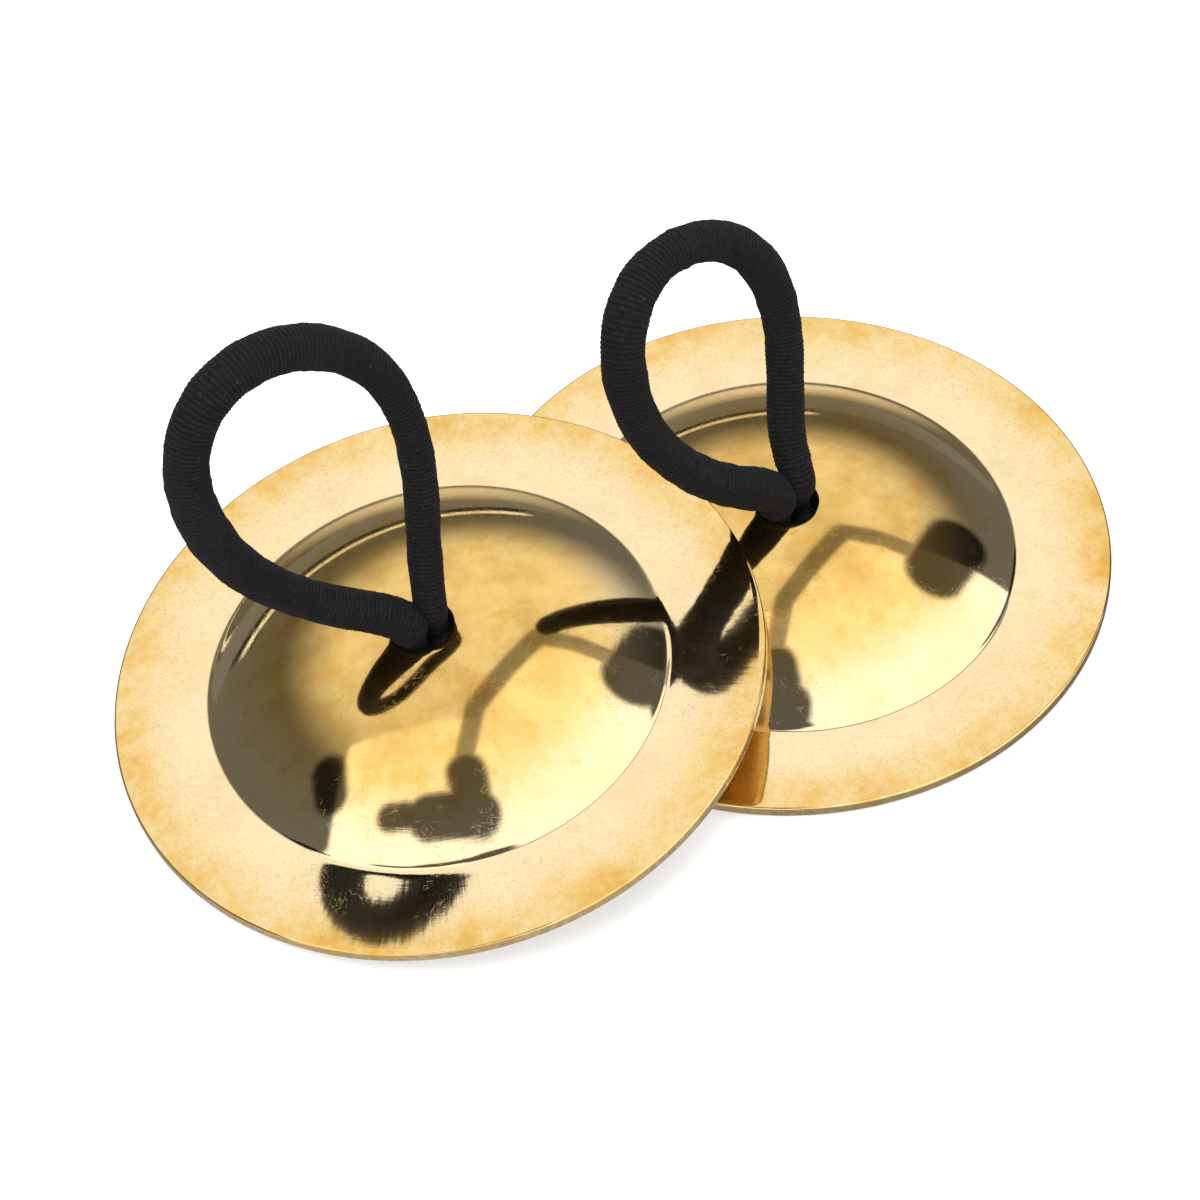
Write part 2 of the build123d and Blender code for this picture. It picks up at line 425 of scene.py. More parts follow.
def spin_cymbal(side):
    """One cymbal, from the hole outwards."""
    radii = ring_radii()
    heights = [top_height(radius) for radius in radii]
    bpy.ops.mesh.primitive_circle_add(
        vertices=SECTIONS, radius=radii[0], location=(0, 0, heights[0]), fill_type="NOTHING"
    )
    cymbal = bpy.context.object
    cymbal.name = f"{side}_cymbal_spun"
    bpy.ops.object.transform_apply()
    bpy.ops.object.mode_set(mode="EDIT")
    bpy.ops.mesh.select_all(action="SELECT")
    for ring in range(1, len(radii)):
        grow = radii[ring] / radii[ring - 1]
        bpy.ops.mesh.extrude_edges_move()
        bpy.ops.transform.resize(value=(grow, grow, 1), center_override=(0, 0, 0))
        bpy.ops.transform.translate(value=(0, 0, heights[ring] - heights[ring - 1]))
    bpy.ops.mesh.select_all(action="SELECT")
    bpy.ops.mesh.normals_make_consistent(inside=False)
    bpy.ops.object.mode_set(mode="OBJECT")
    if cymbal.data.polygons[0].normal.z < 0:
        cymbal.data.flip_normals()
    wall = cymbal.modifiers.new("wall", "SOLIDIFY")
    wall.thickness = SHEET
    wall.offset = -1
    wall.use_even_offset = True
    edge = cymbal.modifiers.new("edge", "BEVEL")
    edge.width = EDGE_ROUND
    edge.segments = 3
    edge.limit_method = "ANGLE"
    edge.angle_limit = SHARP_ANGLE
    for modifier in ("wall", "edge"):
        bpy.ops.object.modifier_apply(modifier=modifier)
    bpy.ops.object.shade_smooth_by_angle(angle=SHARP_ANGLE)
    place_piece(cymbal, seats[side])
    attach(cymbal, f"{side}_cymbal")
    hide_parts(f"{side}_cymbal")
    bpy.ops.object.select_all(action="DESELECT")
    print(cymbal.name, len(cymbal.data.vertices), "vertices")
    return cymbal


cymbals = {side: spin_cymbal(side) for side in seats}

# %% [markdown]
# Spun brass keeps a record of how it was made and used. Fine rings from the polishing
# lathe smear reflections outwards. Air and fingers turn it amber in clouds, most at the
# rim. Small brown specks and short scratches lie over all of it, and the cut edge is
# duller than the face. Each effect is a group of its own that gives a mask or a height.

# %% Disc coordinates: radius, and a polar space where noise stretches round the disc
disc_space, takes, gives = new_group(
    "disc_space",
    [("Place", "NodeSocketVector")],
    [("Radius", "NodeSocketFloat"), ("Round", "NodeSocketVector"), ("Height", "NodeSocketFloat")],
)
parts = add(disc_space, "ShaderNodeSeparateXYZ", {0: takes["Place"]}).outputs
flat = add(disc_space, "ShaderNodeCombineXYZ", {0: parts[0], 1: parts[1]}).outputs[0]
span = add(disc_space, "ShaderNodeVectorMath", {0: flat}, operation="LENGTH").outputs["Value"]
heading = add(disc_space, "ShaderNodeVectorMath", {0: flat}, operation="NORMALIZE").outputs[0]
heading = add(disc_space, "ShaderNodeSeparateXYZ", {0: heading}).outputs
around = add(disc_space, "ShaderNodeCombineXYZ", {0: heading[0], 1: heading[1], 2: span}).outputs[0]
disc_space.links.new(span, gives["Radius"])
disc_space.links.new(around, gives["Round"])
disc_space.links.new(parts[2], gives["Height"])

# %% Lathe rings: a height that varies quickly outwards and slowly round the disc
lathe_rings, takes, gives = new_group(
    "lathe_rings",
    [("Round", "NodeSocketVector"), ("Per mm", "NodeSocketFloat"), ("Sweep", "NodeSocketFloat")],
    [("Height", "NodeSocketFloat")],
)
stretch = add(
    lathe_rings, "ShaderNodeCombineXYZ", {0: takes["Sweep"], 1: takes["Sweep"], 2: takes["Per mm"]}
)
packed = add(
    lathe_rings, "ShaderNodeVectorMath", {0: takes["Round"], 1: stretch.outputs[0]}, operation="MULTIPLY"
)
lathe_rings.links.new(noise(lathe_rings, packed.outputs[0], 1.0, 3.0, 0.6), gives["Height"])

# %% Outward lean: tips a normal away from the disc's middle by a small amount
lean_outwards, takes, gives = new_group(
    "lean_outwards",
    [("Normal", "NodeSocketVector"), ("Place", "NodeSocketVector"), ("Centre", "NodeSocketVector"),
     ("Tilt", "NodeSocketFloat")],
    [("Normal", "NodeSocketVector")],
)
outward = add(
    lean_outwards, "ShaderNodeVectorMath", {0: takes["Place"], 1: takes["Centre"]}, operation="SUBTRACT"
)
outward = add(
    lean_outwards, "ShaderNodeVectorTransform", {0: outward.outputs[0]},
    vector_type="VECTOR", convert_from="OBJECT", convert_to="WORLD",
)
outward = add(lean_outwards, "ShaderNodeVectorMath", {0: outward.outputs[0]}, operation="NORMALIZE")
lean = add(
    lean_outwards, "ShaderNodeVectorMath", {0: outward.outputs[0], "Scale": takes["Tilt"]}, operation="SCALE"
)
leaning = add(
    lean_outwards, "ShaderNodeVectorMath", {0: takes["Normal"], 1: lean.outputs[0]}, operation="ADD"
)
leaning = add(lean_outwards, "ShaderNodeVectorMath", {0: leaning.outputs[0]}, operation="NORMALIZE")
lean_outwards.links.new(leaning.outputs[0], gives["Normal"])

# %% Clouds of tarnish, and small specks
tarnish, takes, gives = new_group(
    "tarnish",
    [("Place", "NodeSocketVector"), ("Size", "NodeSocketFloat"), ("Low", "NodeSocketFloat"),
     ("High", "NodeSocketFloat")],
    [("Mask", "NodeSocketFloat")],
)
cloud = noise(tarnish, takes["Place"], takes["Size"], 8.0, 0.62)
tarnish.links.new(fade(tarnish, cloud, takes["Low"], takes["High"]), gives["Mask"])

# %% Short scratches: thin stretched noise, turned to a given direction
SCRATCH_STRETCH = (0.9, 16.0, 0.9)
SCRATCH_CUT = (0.68, 0.74)
SCRATCH_PATCHES = (0.45, 0.48, 0.62)

scratches, takes, gives = new_group(
    "scratches",
    [("Place", "NodeSocketVector"), ("Turn", "NodeSocketFloat"), ("Amount", "NodeSocketFloat")],
    [("Mask", "NodeSocketFloat")],
)
turned = add(
    scratches, "ShaderNodeVectorRotate", {"Vector": takes["Place"], "Angle": takes["Turn"]},
    rotation_type="Z_AXIS",
)
long_way = add(
    scratches, "ShaderNodeVectorMath", {0: turned.outputs[0], 1: SCRATCH_STRETCH}, operation="MULTIPLY"
)
line = fade(scratches, noise(scratches, long_way.outputs[0], 1.0, 1.0, 0.4), *SCRATCH_CUT)
patch = fade(scratches, noise(scratches, takes["Place"], SCRATCH_PATCHES[0], 1.0), *SCRATCH_PATCHES[1:])
scratches.links.new(times(scratches, times(scratches, line, patch), takes["Amount"]), gives["Mask"])
print("node groups", len(bpy.data.node_groups))

# %% [markdown]
# The brass itself is a plain metal with those masks laid over it: pale gold where it is
# rubbed clean, deeper gold on the dome, amber where it has tarnished, brown in the specks
# and along the cut edge, and dull brown underneath, where nobody polishes. A Mapping node
# brings the pattern to each cymbal's own middle.

# %% Brass colours
CLEAN_BRASS = (0.96, 0.81, 0.53, 1)
WARM_BRASS = (0.93, 0.665, 0.255, 1)
AMBER_BRASS = (0.78, 0.44, 0.09, 1)
DOME_GOLD = (0.90, 0.61, 0.21, 1)
OLD_GOLD = (0.60, 0.37, 0.10, 1)
UNDER_BROWN = (0.52, 0.43, 0.29, 1)
SPECK_BROWN = (0.34, 0.19, 0.06, 1)
EDGE_BROWN = (0.50, 0.39, 0.24, 1)
print("brass colours from", CLEAN_BRASS[:3], "to", SPECK_BROWN[:3])

# %% [markdown]
# A tarnish pattern is a size, as cycles in a millimetre, and the two levels of its noise
# between which it fades in. A zone is two distances from the middle, in millimetres, and
# how strong the effect is at each. Lathe marks are cycles outwards and round the disc.

# %% Brass patterns and zones
CLOUDS = (0.13, 0.35, 0.68)
MOTTLE = (0.55, 0.3, 0.78)
AGEING = (0.2, 0.3, 0.75)
BLOTCHES = (0.42, 0.5, 0.66)
GRAIN = (3.4, 0.47, 0.72)
SPECKS = (7.5, 0.63, 0.72)
NICKS = (1.6, 0.42, 0.6)

WARM_RIM = (23.5, 30.0)
WARM_DOME = (20.0, 12.0, 0.0, 0.75)
AMBER_RIM = (25.5, 29.9)
GOLD_DOME = (19.5, 13.0, 0.0, 0.85)
AGED_CROWN = (18.5, 9.0, 0.0, 0.95)
BLOTCH_ZONE = (20.0, 14.0, 0.12, 0.5)
GRAIN_ZONE = (20.0, 28.0, 0.18, 0.5)
SPECK_ZONE = (20.0, 26.0, 0.35, 1.4)
CUT_EDGE = (29.72, 29.95)
CUT_EDGE_HEIGHT = (1.02, 0.85)
FACING_DOWN = (-0.3, -0.6)

FINE_RINGS = (5.0, 9.0)
BROAD_RINGS = (1.7, 2.5)
STREAKS = (0.3, 90.0)
RINGS_ON_DOME = (9.0, 19.0, 0.12, 0.8)
RINGS_ON_RIM = (21.5, 24.0, 1.0, 0.3)
STREAK_ZONE = (13.0, 19.0, 0.1, 1.0)
STREAK_TILT = 0.018
RING_DEPTH = 1.6e-6
SCRATCHES = ((0.4, 0.8), (1.5, 0.7), (2.5, 0.8))
POLISH = 0.045
PATTERN_SHIFT = 40.0
print("amber from", AMBER_RIM[0], "to", AMBER_RIM[1], "mm out")


# %% Brass
def pattern(tree, place, size, low, high):
    """Tarnish of one size."""
    return use_group(tree, tarnish, {"Place": place, "Size": size, "Low": low, "High": high})["Mask"]


def lathe_marks(tree, disc, per_mm, sweep):
    """Lathe marks of one closeness."""
    names = {"Round": disc["Round"], "Per mm": per_mm, "Sweep": sweep}
    return use_group(tree, lathe_rings, names)["Height"]


def wear_masks(tree, disc, moved):
    """Where the metal is warm, worn at the cut edge, scratched, or turned to the table."""
    radius = disc["Radius"]
    warm = plus(tree, times(tree, pattern(tree, moved, *MOTTLE), 0.8), 0.35)
    warm = plus(tree, times(tree, fade(tree, radius, *WARM_RIM), warm), fade(tree, radius, *WARM_DOME))
    warm = plus(tree, warm, times(tree, pattern(tree, moved, *CLOUDS), 0.3))
    warm = add(tree, "ShaderNodeClamp", {"Value": warm}).outputs[0]
    edge = times(tree, fade(tree, radius, *CUT_EDGE), fade(tree, disc["Height"], *CUT_EDGE_HEIGHT))
    worn = times(tree, edge, plus(tree, times(tree, pattern(tree, moved, *NICKS), 0.5), 0.4))
    scored = 0.0
    for turn, amount in SCRATCHES:
        marks = use_group(tree, scratches, {"Place": moved, "Turn": turn, "Amount": amount})["Mask"]
        scored = calc(tree, "MAXIMUM", scored, marks)
    facing = add(tree, "ShaderNodeTexCoord").outputs["Normal"]
    facing = add(tree, "ShaderNodeSeparateXYZ", {0: facing}).outputs[2]
    return warm, worn, scored, fade(tree, facing, *FACING_DOWN)


def brass_colour(tree, radius, moved, warm, worn, scored, beneath):
    """Colour of the metal, from rubbed gold to brown specks."""
    amber = plus(tree, times(tree, pattern(tree, moved, *CLOUDS), 0.9), 0.12)
    amber = times(tree, fade(tree, radius, *AMBER_RIM), amber)
    amber = times(tree, amber, plus(tree, pattern(tree, moved, *MOTTLE), 0.4))
    aged = times(tree, pattern(tree, moved, *AGEING), fade(tree, radius, *AGED_CROWN))
    blotch = times(tree, pattern(tree, moved, *BLOTCHES), fade(tree, radius, *BLOTCH_ZONE))
    grain = times(tree, pattern(tree, moved, *GRAIN), fade(tree, radius, *GRAIN_ZONE))
    speck = times(tree, pattern(tree, moved, *SPECKS), fade(tree, radius, *SPECK_ZONE))
    colour = CLEAN_BRASS
    for mask, over in (
        (warm, WARM_BRASS), (times(tree, amber, 0.85), AMBER_BRASS),
        (fade(tree, radius, *GOLD_DOME), DOME_GOLD), (aged, OLD_GOLD), (blotch, AMBER_BRASS),
        (grain, AMBER_BRASS), (speck, SPECK_BROWN), (times(tree, scored, 0.45), SPECK_BROWN),
        (worn, EDGE_BROWN), (times(tree, beneath, 0.9), UNDER_BROWN),
    ):
        colour = tint(tree, mask, colour, over)
    return colour


def brass_normal(tree, seat, disc, scored):
    """Fine relief of rings and scratches, and a lean that smears reflections outwards."""
    radius = disc["Radius"]
    rings = times(tree, lathe_marks(tree, disc, *BROAD_RINGS), 2.0)
    rings = plus(tree, rings, lathe_marks(tree, disc, *FINE_RINGS))
    rings = times(tree, rings, fade(tree, radius, *RINGS_ON_DOME))
    rings = times(tree, rings, fade(tree, radius, *RINGS_ON_RIM))
    relief = calc(tree, "SUBTRACT", rings, times(tree, scored, 0.6))
    bump = add(tree, "ShaderNodeBump", {"Height": relief, "Strength": 1.0, "Distance": RING_DEPTH})
    tilt = calc(tree, "SUBTRACT", lathe_marks(tree, disc, *STREAKS), 0.5)
    tilt = times(tree, times(tree, tilt, STREAK_TILT), fade(tree, radius, *STREAK_ZONE))
    names = {
        "Normal": bump.outputs[0], "Centre": seat.translation, "Tilt": tilt,
        "Place": add(tree, "ShaderNodeTexCoord").outputs["Object"],
    }
    return use_group(tree, lean_outwards, names)["Normal"]


def brass_for(side, shift):
    """Brass centred on one cymbal; shift moves the pattern so the pair differs."""
    material = bpy.data.materials.new(f"spun_brass_{side}")
    material.use_nodes = True
    tree = material.node_tree
    metal = tree.nodes["Principled BSDF"]
    metal.inputs["Metallic"].default_value = 1.0
    seat = seats[side]
    place = add(
        tree, "ShaderNodeMapping",
        {"Vector": add(tree, "ShaderNodeTexCoord").outputs["Object"], "Location": seat.translation,
         "Rotation": seat.to_euler(), "Scale": (MM, MM, MM)},
        vector_type="TEXTURE",
    ).outputs[0]
    disc = use_group(tree, disc_space, {"Place": place})
    names = {0: place, 1: (shift, shift, 0)}
    moved = add(tree, "ShaderNodeVectorMath", names, operation="ADD").outputs[0]
    warm, worn, scored, beneath = wear_masks(tree, disc, moved)
    colour = brass_colour(tree, disc["Radius"], moved, warm, worn, scored, beneath)
    tree.links.new(colour, metal.inputs["Base Color"])
    dull = plus(tree, times(tree, warm, 0.03), POLISH)
    for mask, rougher in ((worn, 0.25), (scored, 0.08), (beneath, 0.12)):
        dull = plus(tree, dull, times(tree, mask, rougher))
    tree.links.new(dull, metal.inputs["Roughness"])
    tree.links.new(brass_normal(tree, seat, disc, scored), metal.inputs["Normal"])
    return material


for shift, side in enumerate(seats):
    cymbals[side].data.materials.clear()
    cymbals[side].data.materials.append(brass_for(side, PATTERN_SHIFT * shift))
print("brass on", [piece.name for piece in cymbals.values()])

# %% [markdown]
# The finger loop is elastic cord: a rubber core inside a jacket of thread that is wound
# round it, which shows as fine ribs across the cord. It is one piece of cord, so it is
# one smooth line from strand to strand. The line is a NURBS curve with control points of
# its own, and goes on down the hole. The CAD model's loops are flat. These bow out of
# flat by up to six millimetres, so each point also says how far it stands behind the
# loop's plane. A fitting program found these points, and a few of them were moved a
# little afterwards. A tube then follows the line, thinner where it is squeezed
# and fatter round the top, with every rib as real relief.

# %% Routes of the two loops, in millimetres: across, up, and behind the loop's plane
ROUTES = {
    "front": (
        (1.3, 0.0, 0.0), (2.8, 5.3, 1.3), (4.8, 11.3, 2.4), (5.9, 17.9, 3.4), (4.8, 24.4, 4.0),
        (0.7, 29.5, 3.7), (-4.9, 32.8, 2.0), (-10.6, 32.3, 0.5), (-14.3, 27.2, 0.3),
        (-15.0, 19.9, 0.6), (-13.1, 12.5, 0.7), (-8.4, 6.0, 0.4), (-1.3, 0.0, 0.0),
    ),
    "back": (
        (1.3, 0.0, 0.0), (1.4, 3.9, 1.9), (3.0, 8.7, 3.8), (4.1, 14.1, 5.2), (3.4, 19.9, 6.0),
        (0.4, 24.6, 6.1), (-4.3, 27.3, 5.4), (-9.8, 27.7, 3.7), (-13.7, 24.8, 1.3),
        (-14.5, 18.8, 0.6), (-13.3, 12.7, -0.2), (-10.2, 7.7, -1.1), (-5.9, 3.4, -1.0), (-1.3, 0.0, 0.0),
    ),
}
LEAN_BACK = {"front": 9.7, "back": 8.0}
STRAND_DEPTHS = (-2.2, -4.6)
CROSSING = 0.5
CURVE_STEPS = 24


def loop_points(side):
    """Control points in the cymbal's own millimetres, up one strand and down the other."""
    lean = radians(LEAN_BACK[side])
    tilt = Matrix.Rotation(-lean, 3, "X")
    foot = Vector((0, 0, PIVOT_HEIGHT))
    points = [foot + tilt @ Vector((across, bow, up)) for across, up, bow in ROUTES[side]]
    down = [Vector((STRAND_OFFSET, CROSSING, PIVOT_HEIGHT + depth)) for depth in STRAND_DEPTHS]
    other = [Vector((-STRAND_OFFSET, -CROSSING, PIVOT_HEIGHT + depth)) for depth in STRAND_DEPTHS]
    return down[::-1] + points + other


def smooth_line(name, points, resolution):
    """Points read from one open NURBS curve that has these control points."""
    curve = bpy.data.curves.new(name, "CURVE")
    curve.dimensions = "3D"
    curve.resolution_u = resolution
    spline = curve.splines.new("NURBS")
    spline.points.add(len(points) - 1)
    for slot, point in zip(spline.points, points):
        slot.co = (*point, 1)
    spline.order_u = 3
    spline.use_endpoint_u = True
    holder = bpy.data.objects.new(name, curve)
    mesh = bpy.data.meshes.new_from_object(holder)
    line = np.array([tuple(vertex.co) for vertex in mesh.vertices])
    bpy.data.objects.remove(holder)
    bpy.data.meshes.remove(mesh)
    return line


def even_line(line, step):
    """The same line with its points evenly spaced, and how far along each one is."""
    runs = np.linalg.norm(np.diff(line, axis=0), axis=1)
    along = np.concatenate(([0], np.cumsum(runs)))
    places = np.linspace(0, along[-1], int(round(along[-1] / step)) + 1)
    even = np.stack([np.interp(places, along, line[:, axis]) for axis in range(3)], axis=1)
    return even, places


lines = {side: smooth_line(f"{side}_line", loop_points(side), CURVE_STEPS) for side in seats}

# %% [markdown]
# A tube needs a cross-section that travels without twisting. At each step the section's
# side direction is carried over from the step before and squared up to the new heading,
# which is called parallel transport. UVs hold millimetres along the cord and the share
# of a turn round it, so that thread patterns can follow it.

# %% Tube builder
def travelling_axes(line):
    """Two directions across the line at each point, carried along without twist."""
    heading = np.gradient(line, axis=0)
    heading /= np.linalg.norm(heading, axis=1)[:, None]
    side = np.cross(heading[0], (0.0, 1.0, 0.0))
    sides = []
    for ahead in heading:
        side = side - ahead * side.dot(ahead)
        side = side / np.linalg.norm(side)
        sides.append(side)
    sides = np.array(sides)
    return sides, np.cross(heading, sides)


def tube(name, line, places, radii, sections):
    """A closed tube; radii has one row for each point and one column for each side."""
    sides, ups = travelling_axes(line)
    angles = np.linspace(0, 2 * pi, sections, endpoint=False)
    across = sides[:, None] * np.cos(angles)[None, :, None]
    across = across + ups[:, None] * np.sin(angles)[None, :, None]
    rings = line[:, None] + across * radii[:, :, None]
    count = len(line)
    vertices = rings.reshape(-1, 3).tolist() + [line[0].tolist(), line[-1].tolist()]
    faces, layout = [], []
    for ring in range(count - 1):
        for turn in range(sections):
            after = (turn + 1) % sections
            here, there = ring * sections, (ring + 1) * sections
            faces.append((here + turn, here + after, there + after, there + turn))
            low, high = turn / sections, (turn + 1) / sections
            near, far = places[ring], places[ring + 1]
            layout += [(near, low), (near, high), (far, high), (far, low)]
    first, last = count * sections, count * sections + 1
    for turn in range(sections):
        after = (turn + 1) % sections
        start, end = turn, (count - 1) * sections + turn
        faces.append((first, after, start))
        faces.append((last, end, (count - 1) * sections + after))
        layout += [(places[0], 0.5)] * 3 + [(places[-1], 0.5)] * 3
    mesh = bpy.data.meshes.new(name)
    mesh.from_pydata(vertices, [], faces)
    uv = mesh.uv_layers.new(name="along")
    uv.data.foreach_set("uv", np.array(layout, dtype=np.float32).ravel())
    mesh.shade_smooth()
    piece = bpy.data.objects.new(name, mesh)
    bpy.context.collection.objects.link(piece)
    return piece

# %% [markdown]
# The thread jacket is wound in rings a little under half a millimetre apart. Rings are
# never quite equal, so each one swells by its own seeded amount and wanders a little
# round the cord. The cord is slimmer on the side that is stretched by the hole and
# fuller round the top, where the loop relaxes. WIDTHS are its diameters at even steps
# along each loop, in millimetres.

# %% Finger loops
RIB_PITCH = 0.42
RINGS_PER_RIB = 7
RIB_HEIGHT = 0.062
CORD_SIDES = 28
CORE_SHARE = 0.6
WIDTHS = {
    "front": (3.1, 3.15, 3.2, 3.3, 3.65, 4.15, 4.3, 4.2, 4.05, 4.25, 3.95, 3.6, 3.85, 3.75),
    "back": (3.4, 3.45, 3.45, 3.55, 3.9, 3.85, 3.75, 4.0, 4.15, 3.95, 3.65, 3.85, 3.95, 3.9),
}
SQUEEZED = 2.55
LUMP = 0.035
LUMP_PITCH = 1.3
MOUTH = 1.5
SETTLE = 1.8
END_MARGIN = 1.0
SMOOTHING = 30
WANDER = (0.10, 0.05)
WANDER_TURN = 0.35
RIB_ROUNDNESS = 0.8
RIB_UNEVEN = 0.014
CORE_STEP = 0.6
CORE_SIDES = 12


def cord_radii(places, widths, rng, squeezed, sections):
    """Radius for each ring and side: overall width, squeeze at the ends, and ribs."""
    length = places[-1]
    share = np.linspace(MOUTH + END_MARGIN, length - MOUTH - END_MARGIN, len(widths))
    smooth = np.interp(places, share, np.array(widths) / 2)
    kernel = np.hanning(2 * SMOOTHING + 1)
    smooth = np.convolve(np.pad(smooth, SMOOTHING, mode="edge"), kernel / kernel.sum(), mode="valid")
    lumps = rng.normal(0.0, LUMP, int(length / LUMP_PITCH) + 3)
    smooth = smooth + np.interp(places, np.arange(len(lumps)) * LUMP_PITCH, lumps)
    near_end = np.minimum(places, length - places)
    ease = np.clip((near_end - MOUTH) / SETTLE, 0, 1)
    ease = ease * ease * (3 - 2 * ease)
    base = squeezed / 2 + (smooth - squeezed / 2) * ease
    angles = np.linspace(0, 2 * pi, sections, endpoint=False)
    wander = WANDER[0] * np.sin(angles[None, :] + places[:, None] * WANDER_TURN)
    wander = wander + WANDER[1] * np.sin(2 * angles)[None, :]
    phase = places[:, None] / RIB_PITCH + wander
    ribs = np.abs(np.cos(pi * phase)) ** RIB_ROUNDNESS
    swell = rng.normal(0.0, 1.0, int(length / RIB_PITCH) + 4)
    bump = swell[np.clip(np.round(phase).astype(int), 0, len(swell) - 1)]
    return base[:, None] - RIB_HEIGHT * (1 - ribs) + RIB_UNEVEN * bump * ribs


def make_loop(side, seed):
    """The jacket and the core of one finger loop."""
    rng = np.random.default_rng(seed)
    line, places = even_line(lines[side], RIB_PITCH / RINGS_PER_RIB)
    radii = cord_radii(places, WIDTHS[side], rng, SQUEEZED, CORD_SIDES)
    jacket = tube(f"{side}_loop_jacket", line, places, radii, CORD_SIDES)
    core_line, core_places = even_line(lines[side], CORE_STEP)
    thin = np.interp(core_places, places, radii.mean(axis=1)) * CORE_SHARE
    thin = np.repeat(thin[:, None], CORE_SIDES, axis=1)
    core = tube(f"{side}_loop_rubber", core_line, core_places, thin, CORE_SIDES)
    for piece, node, slot in ((jacket, "cover", "cord_cover"), (core, "core", "cord_core")):
        place_piece(piece, seats[side])
        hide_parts(f"{side}_loop_{node}")
    print(jacket.name, len(jacket.data.vertices), "vertices", "diameter", round(2 * radii.mean(), 2))
    return jacket, core, line


loops = {side: make_loop(side, seed) for seed, side in enumerate(seats, start=7)}

# %% [markdown]
# Each loop leans in the mouth of its hole while its knot stays upright below. Here the
# place of each loop's jacket and core is baked into its mesh.

# %% Bake each loop's place into its mesh
for side, (jacket, core, line) in loops.items():
    seat = seats[side]
    for piece in (jacket, core):
        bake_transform(piece)

# %% [markdown]
# Under the crown the two strands are tied together in one tight overhand knot, with two
# short cut tails. A trefoil is the line that an overhand knot makes when it is pulled
# up, so the knot is a ribbed tube along that curve, and the tails leave it on opposite
# sides. Each cut end shows the pale rubber inside its jacket.

# %% Knots
KNOT_CORD = 2.9
KNOT_SPREAD = 1.0
KNOT_RISE = 1.25
KNOT_HEIGHT = 4.45
TAIL = (((1.6, 2.2, 4.3), (1.9, 4.6, 4.6), (0.6, 7.0, 3.9), (-0.3, 9.0, 2.7)),
        ((-1.6, -2.2, 4.2), (-1.5, -4.6, 4.5), (-0.3, -6.8, 4.0), (0.8, -8.7, 2.8)))
TAIL_WIDTH = 3.0
END_CORE = 0.6
STUB_STEPS = (-0.8, -0.2, 0.08, 0.16)
STUB_SHARES = (1.0, 1.0, 1.0, 0.82)
STUB_SIDES = 16
TREFOIL_STEPS = 400


def trefoil(steps):
    """The line of a pulled-up overhand knot, in the cymbal's own millimetres."""
    turn = np.linspace(0, 2 * pi, steps)
    return np.stack([
        KNOT_SPREAD * (np.sin(turn) + 2 * np.sin(2 * turn)),
        KNOT_SPREAD * (np.cos(turn) - 2 * np.cos(2 * turn)),
        KNOT_HEIGHT - KNOT_RISE * np.sin(3 * turn),
    ], axis=1)


def ribbed(name, line, width, rng):
    """A ribbed tube of one width along a line."""
    even, places = even_line(line, RIB_PITCH / RINGS_PER_RIB)
    radii = cord_radii(places, (width, width), rng, width, CORD_SIDES)
    return tube(name, even, places, radii, CORD_SIDES), even


def cut_end(name, line):
    """A short rubber plug that stands just proud of a tail's cut end."""
    ahead = line[-1] - line[-6]
    ahead = ahead / np.linalg.norm(ahead)
    stub = np.array([line[-1] + ahead * step for step in STUB_STEPS])
    radii = np.array(STUB_SHARES) * TAIL_WIDTH / 2 * END_CORE
    radii = np.repeat(radii[:, None], STUB_SIDES, axis=1)
    return tube(name, stub, np.arange(float(len(stub))), radii, STUB_SIDES)


def make_knot(side, seed):
    """The knot and its tails as one piece, with the rubber of the cut ends as another."""
    rng = np.random.default_rng(seed)
    cords = [ribbed(f"{side}_knot_tied", trefoil(TREFOIL_STEPS), KNOT_CORD, rng)[0]]
    plugs = []
    for number, points in enumerate(TAIL):
        line = smooth_line(f"{side}_tail_line", [Vector(point) for point in points], CURVE_STEPS)
        tail, even = ribbed(f"{side}_tail_{number}", line, TAIL_WIDTH, rng)
        cords.append(tail)
        plugs.append(cut_end(f"{side}_tail_rubber_{number}", even))
    joined = []
    for group in (cords, plugs):
        bpy.ops.object.select_all(action="DESELECT")
        for piece in group:
            piece.select_set(True)
        bpy.context.view_layer.objects.active = group[0]
        bpy.ops.object.join()
        joined.append(group[0])
        place_piece(group[0], seats[side])
        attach(group[0], f"{side}_knot")
    bpy.ops.object.select_all(action="DESELECT")
    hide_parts(f"{side}_knot")
    print(joined[0].name, len(joined[0].data.vertices), "vertices")
    return joined


knots = {side: make_knot(side, seed) for seed, side in enumerate(seats, start=21)}

# %% [markdown]
# The thread is black and matt. Its ribs have a painted highlight on their crests and stay
# dark in between, single fibres run across the ribs, and there is a trace of lint. The
# pattern reads the cord's own UVs, so it bends with the cord.

# %% Thread and rubber
THREAD_DARK = (0.0055, 0.005, 0.0055, 1)
# Colour of the painted highlight on the thread's rib crests.
THREAD_CREST_HIGHLIGHT = (0.0165, 0.0155, 0.0175, 1)
LINT = (0.07, 0.065, 0.065, 1)
RUBBER_CREAM = (0.62, 0.54, 0.42, 1)
RUBBER_DIRT = (0.36, 0.29, 0.21, 1)
FIBRES_ROUND = 2.2
FIBRES_ALONG = 9.0
FIBRE_SIZE = 1.6
FIBRE_DEPTH = 0.00006
LINT_SIZE = 1900.0
DIRT_SIZE = 2600.0
DIRT_DEPTH = 0.00005

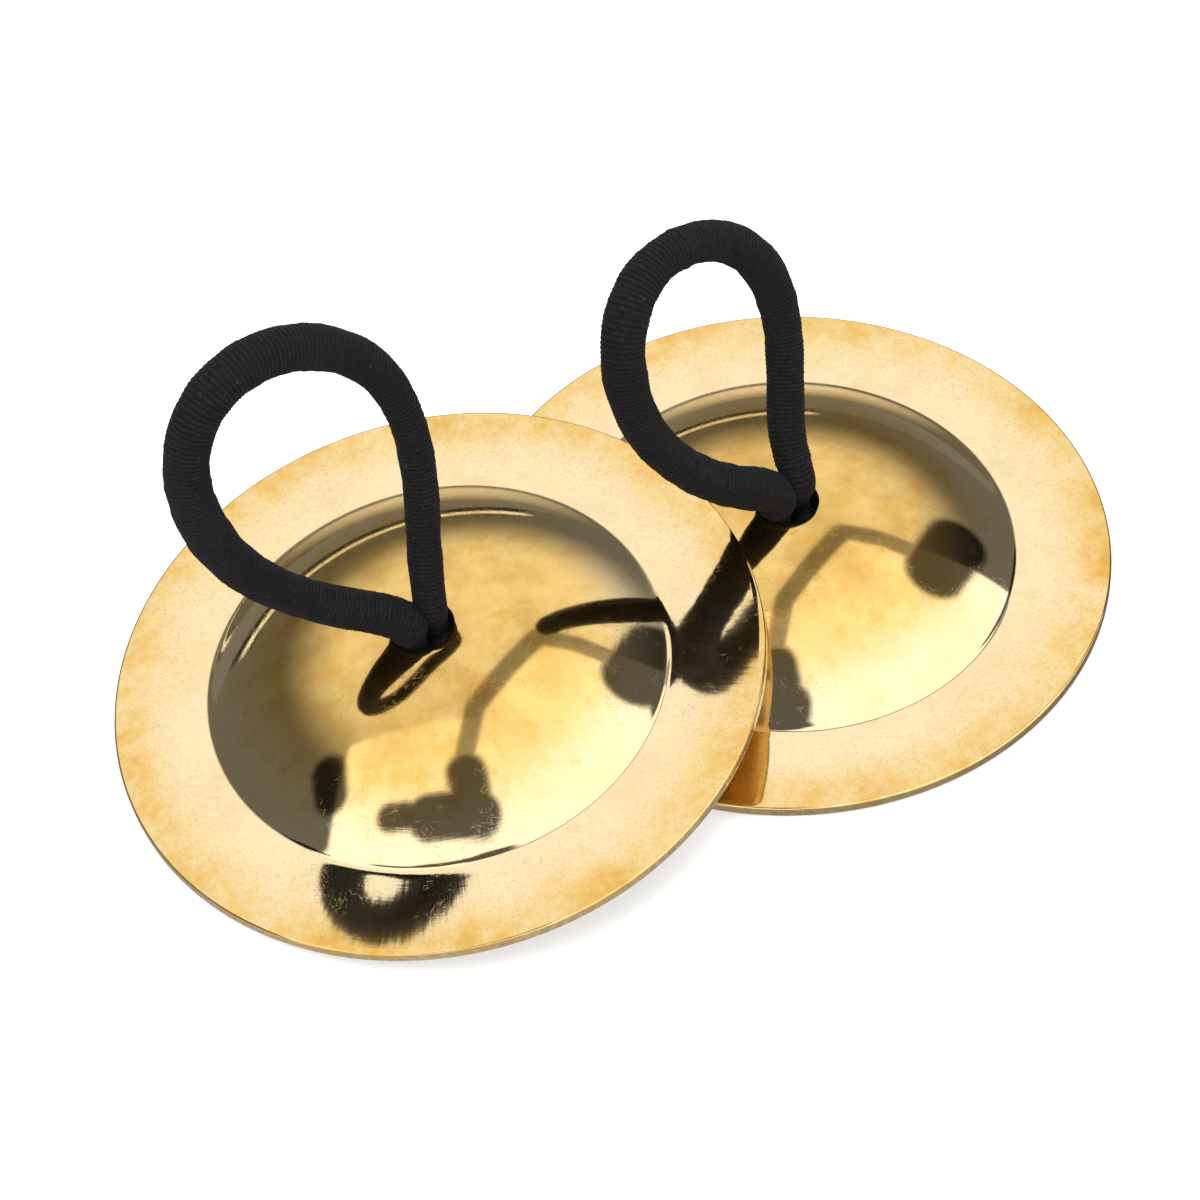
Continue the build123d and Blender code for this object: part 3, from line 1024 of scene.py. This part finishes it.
thread_weave, takes, gives = new_group(
    "thread_weave",
    [("Along", "NodeSocketFloat"), ("Round", "NodeSocketFloat"), ("Pitch", "NodeSocketFloat")],
    [("Crest", "NodeSocketFloat"), ("Fibre", "NodeSocketFloat")],
)
phase = calc(thread_weave, "DIVIDE", takes["Along"], takes["Pitch"])
crest = calc(thread_weave, "COSINE", times(thread_weave, phase, pi))
crest = calc(thread_weave, "ABSOLUTE", crest)
turn = times(thread_weave, takes["Round"], 2 * pi)
ring_x = times(thread_weave, calc(thread_weave, "COSINE", turn), FIBRES_ROUND)
ring_y = times(thread_weave, calc(thread_weave, "SINE", turn), FIBRES_ROUND)
spread = times(thread_weave, takes["Along"], FIBRES_ALONG)
spot = add(thread_weave, "ShaderNodeCombineXYZ", {0: ring_x, 1: ring_y, 2: spread}).outputs[0]
thread_weave.links.new(crest, gives["Crest"])
thread_weave.links.new(noise(thread_weave, spot, FIBRE_SIZE, 3.0, 0.6), gives["Fibre"])


def thread():
    """Black wound thread, with a painted highlight on its rib crests."""
    material = bpy.data.materials.new("black_thread")
    material.use_nodes = True
    tree = material.node_tree
    cloth = tree.nodes["Principled BSDF"]
    cloth.inputs["Sheen Weight"].default_value = 0.02
    cloth.inputs["Sheen Roughness"].default_value = 0.45
    cloth.inputs["Specular IOR Level"].default_value = 0.12
    uv = add(tree, "ShaderNodeUVMap", uv_map="along").outputs[0]
    uv = add(tree, "ShaderNodeSeparateXYZ", {0: uv}).outputs
    weave = use_group(tree, thread_weave, {"Along": uv[0], "Round": uv[1], "Pitch": RIB_PITCH})
    # Painted highlight: the rib crests are lightened in colour where the fibres show.
    light = times(tree, weave["Crest"], fade(tree, weave["Fibre"], 0.3, 0.7))
    colour = tint(tree, light, THREAD_DARK, THREAD_CREST_HIGHLIGHT)
    body = add(tree, "ShaderNodeTexCoord").outputs["Object"]
    lint = fade(tree, noise(tree, body, LINT_SIZE, 3.0, 0.7), 0.66, 0.74)
    colour = tint(tree, times(tree, lint, 0.6), colour, LINT)
    tree.links.new(colour, cloth.inputs["Base Color"])
    rough = plus(tree, times(tree, weave["Fibre"], 0.25), 0.68)
    tree.links.new(rough, cloth.inputs["Roughness"])
    bump = add(tree, "ShaderNodeBump", {"Height": weave["Fibre"], "Strength": 0.8, "Distance": FIBRE_DEPTH})
    tree.links.new(bump.outputs[0], cloth.inputs["Normal"])
    return material


def rubber():
    """Cream rubber with a chalky, slightly dirty surface."""
    material = bpy.data.materials.new("cream_rubber")
    material.use_nodes = True
    tree = material.node_tree
    solid = tree.nodes["Principled BSDF"]
    body = add(tree, "ShaderNodeTexCoord").outputs["Object"]
    dirt = fade(tree, noise(tree, body, DIRT_SIZE, 4.0, 0.6), 0.4, 0.7)
    colour = tint(tree, dirt, RUBBER_CREAM, RUBBER_DIRT)
    tree.links.new(colour, solid.inputs["Base Color"])
    tree.links.new(plus(tree, times(tree, dirt, 0.2), 0.6), solid.inputs["Roughness"])
    bump = add(tree, "ShaderNodeBump", {"Height": dirt, "Strength": 0.5, "Distance": DIRT_DEPTH})
    tree.links.new(bump.outputs[0], solid.inputs["Normal"])
    return material


black_thread = thread()
cream_rubber = rubber()
for side in seats:
    jacket, core = loops[side][:2]
    knot, plugs = knots[side]
    for material, pieces in ((black_thread, (jacket, knot)), (cream_rubber, (core, plugs))):
        for piece in pieces:
            piece.data.materials.clear()
            piece.data.materials.append(material)
print("materials", [material.name for material in bpy.data.materials])
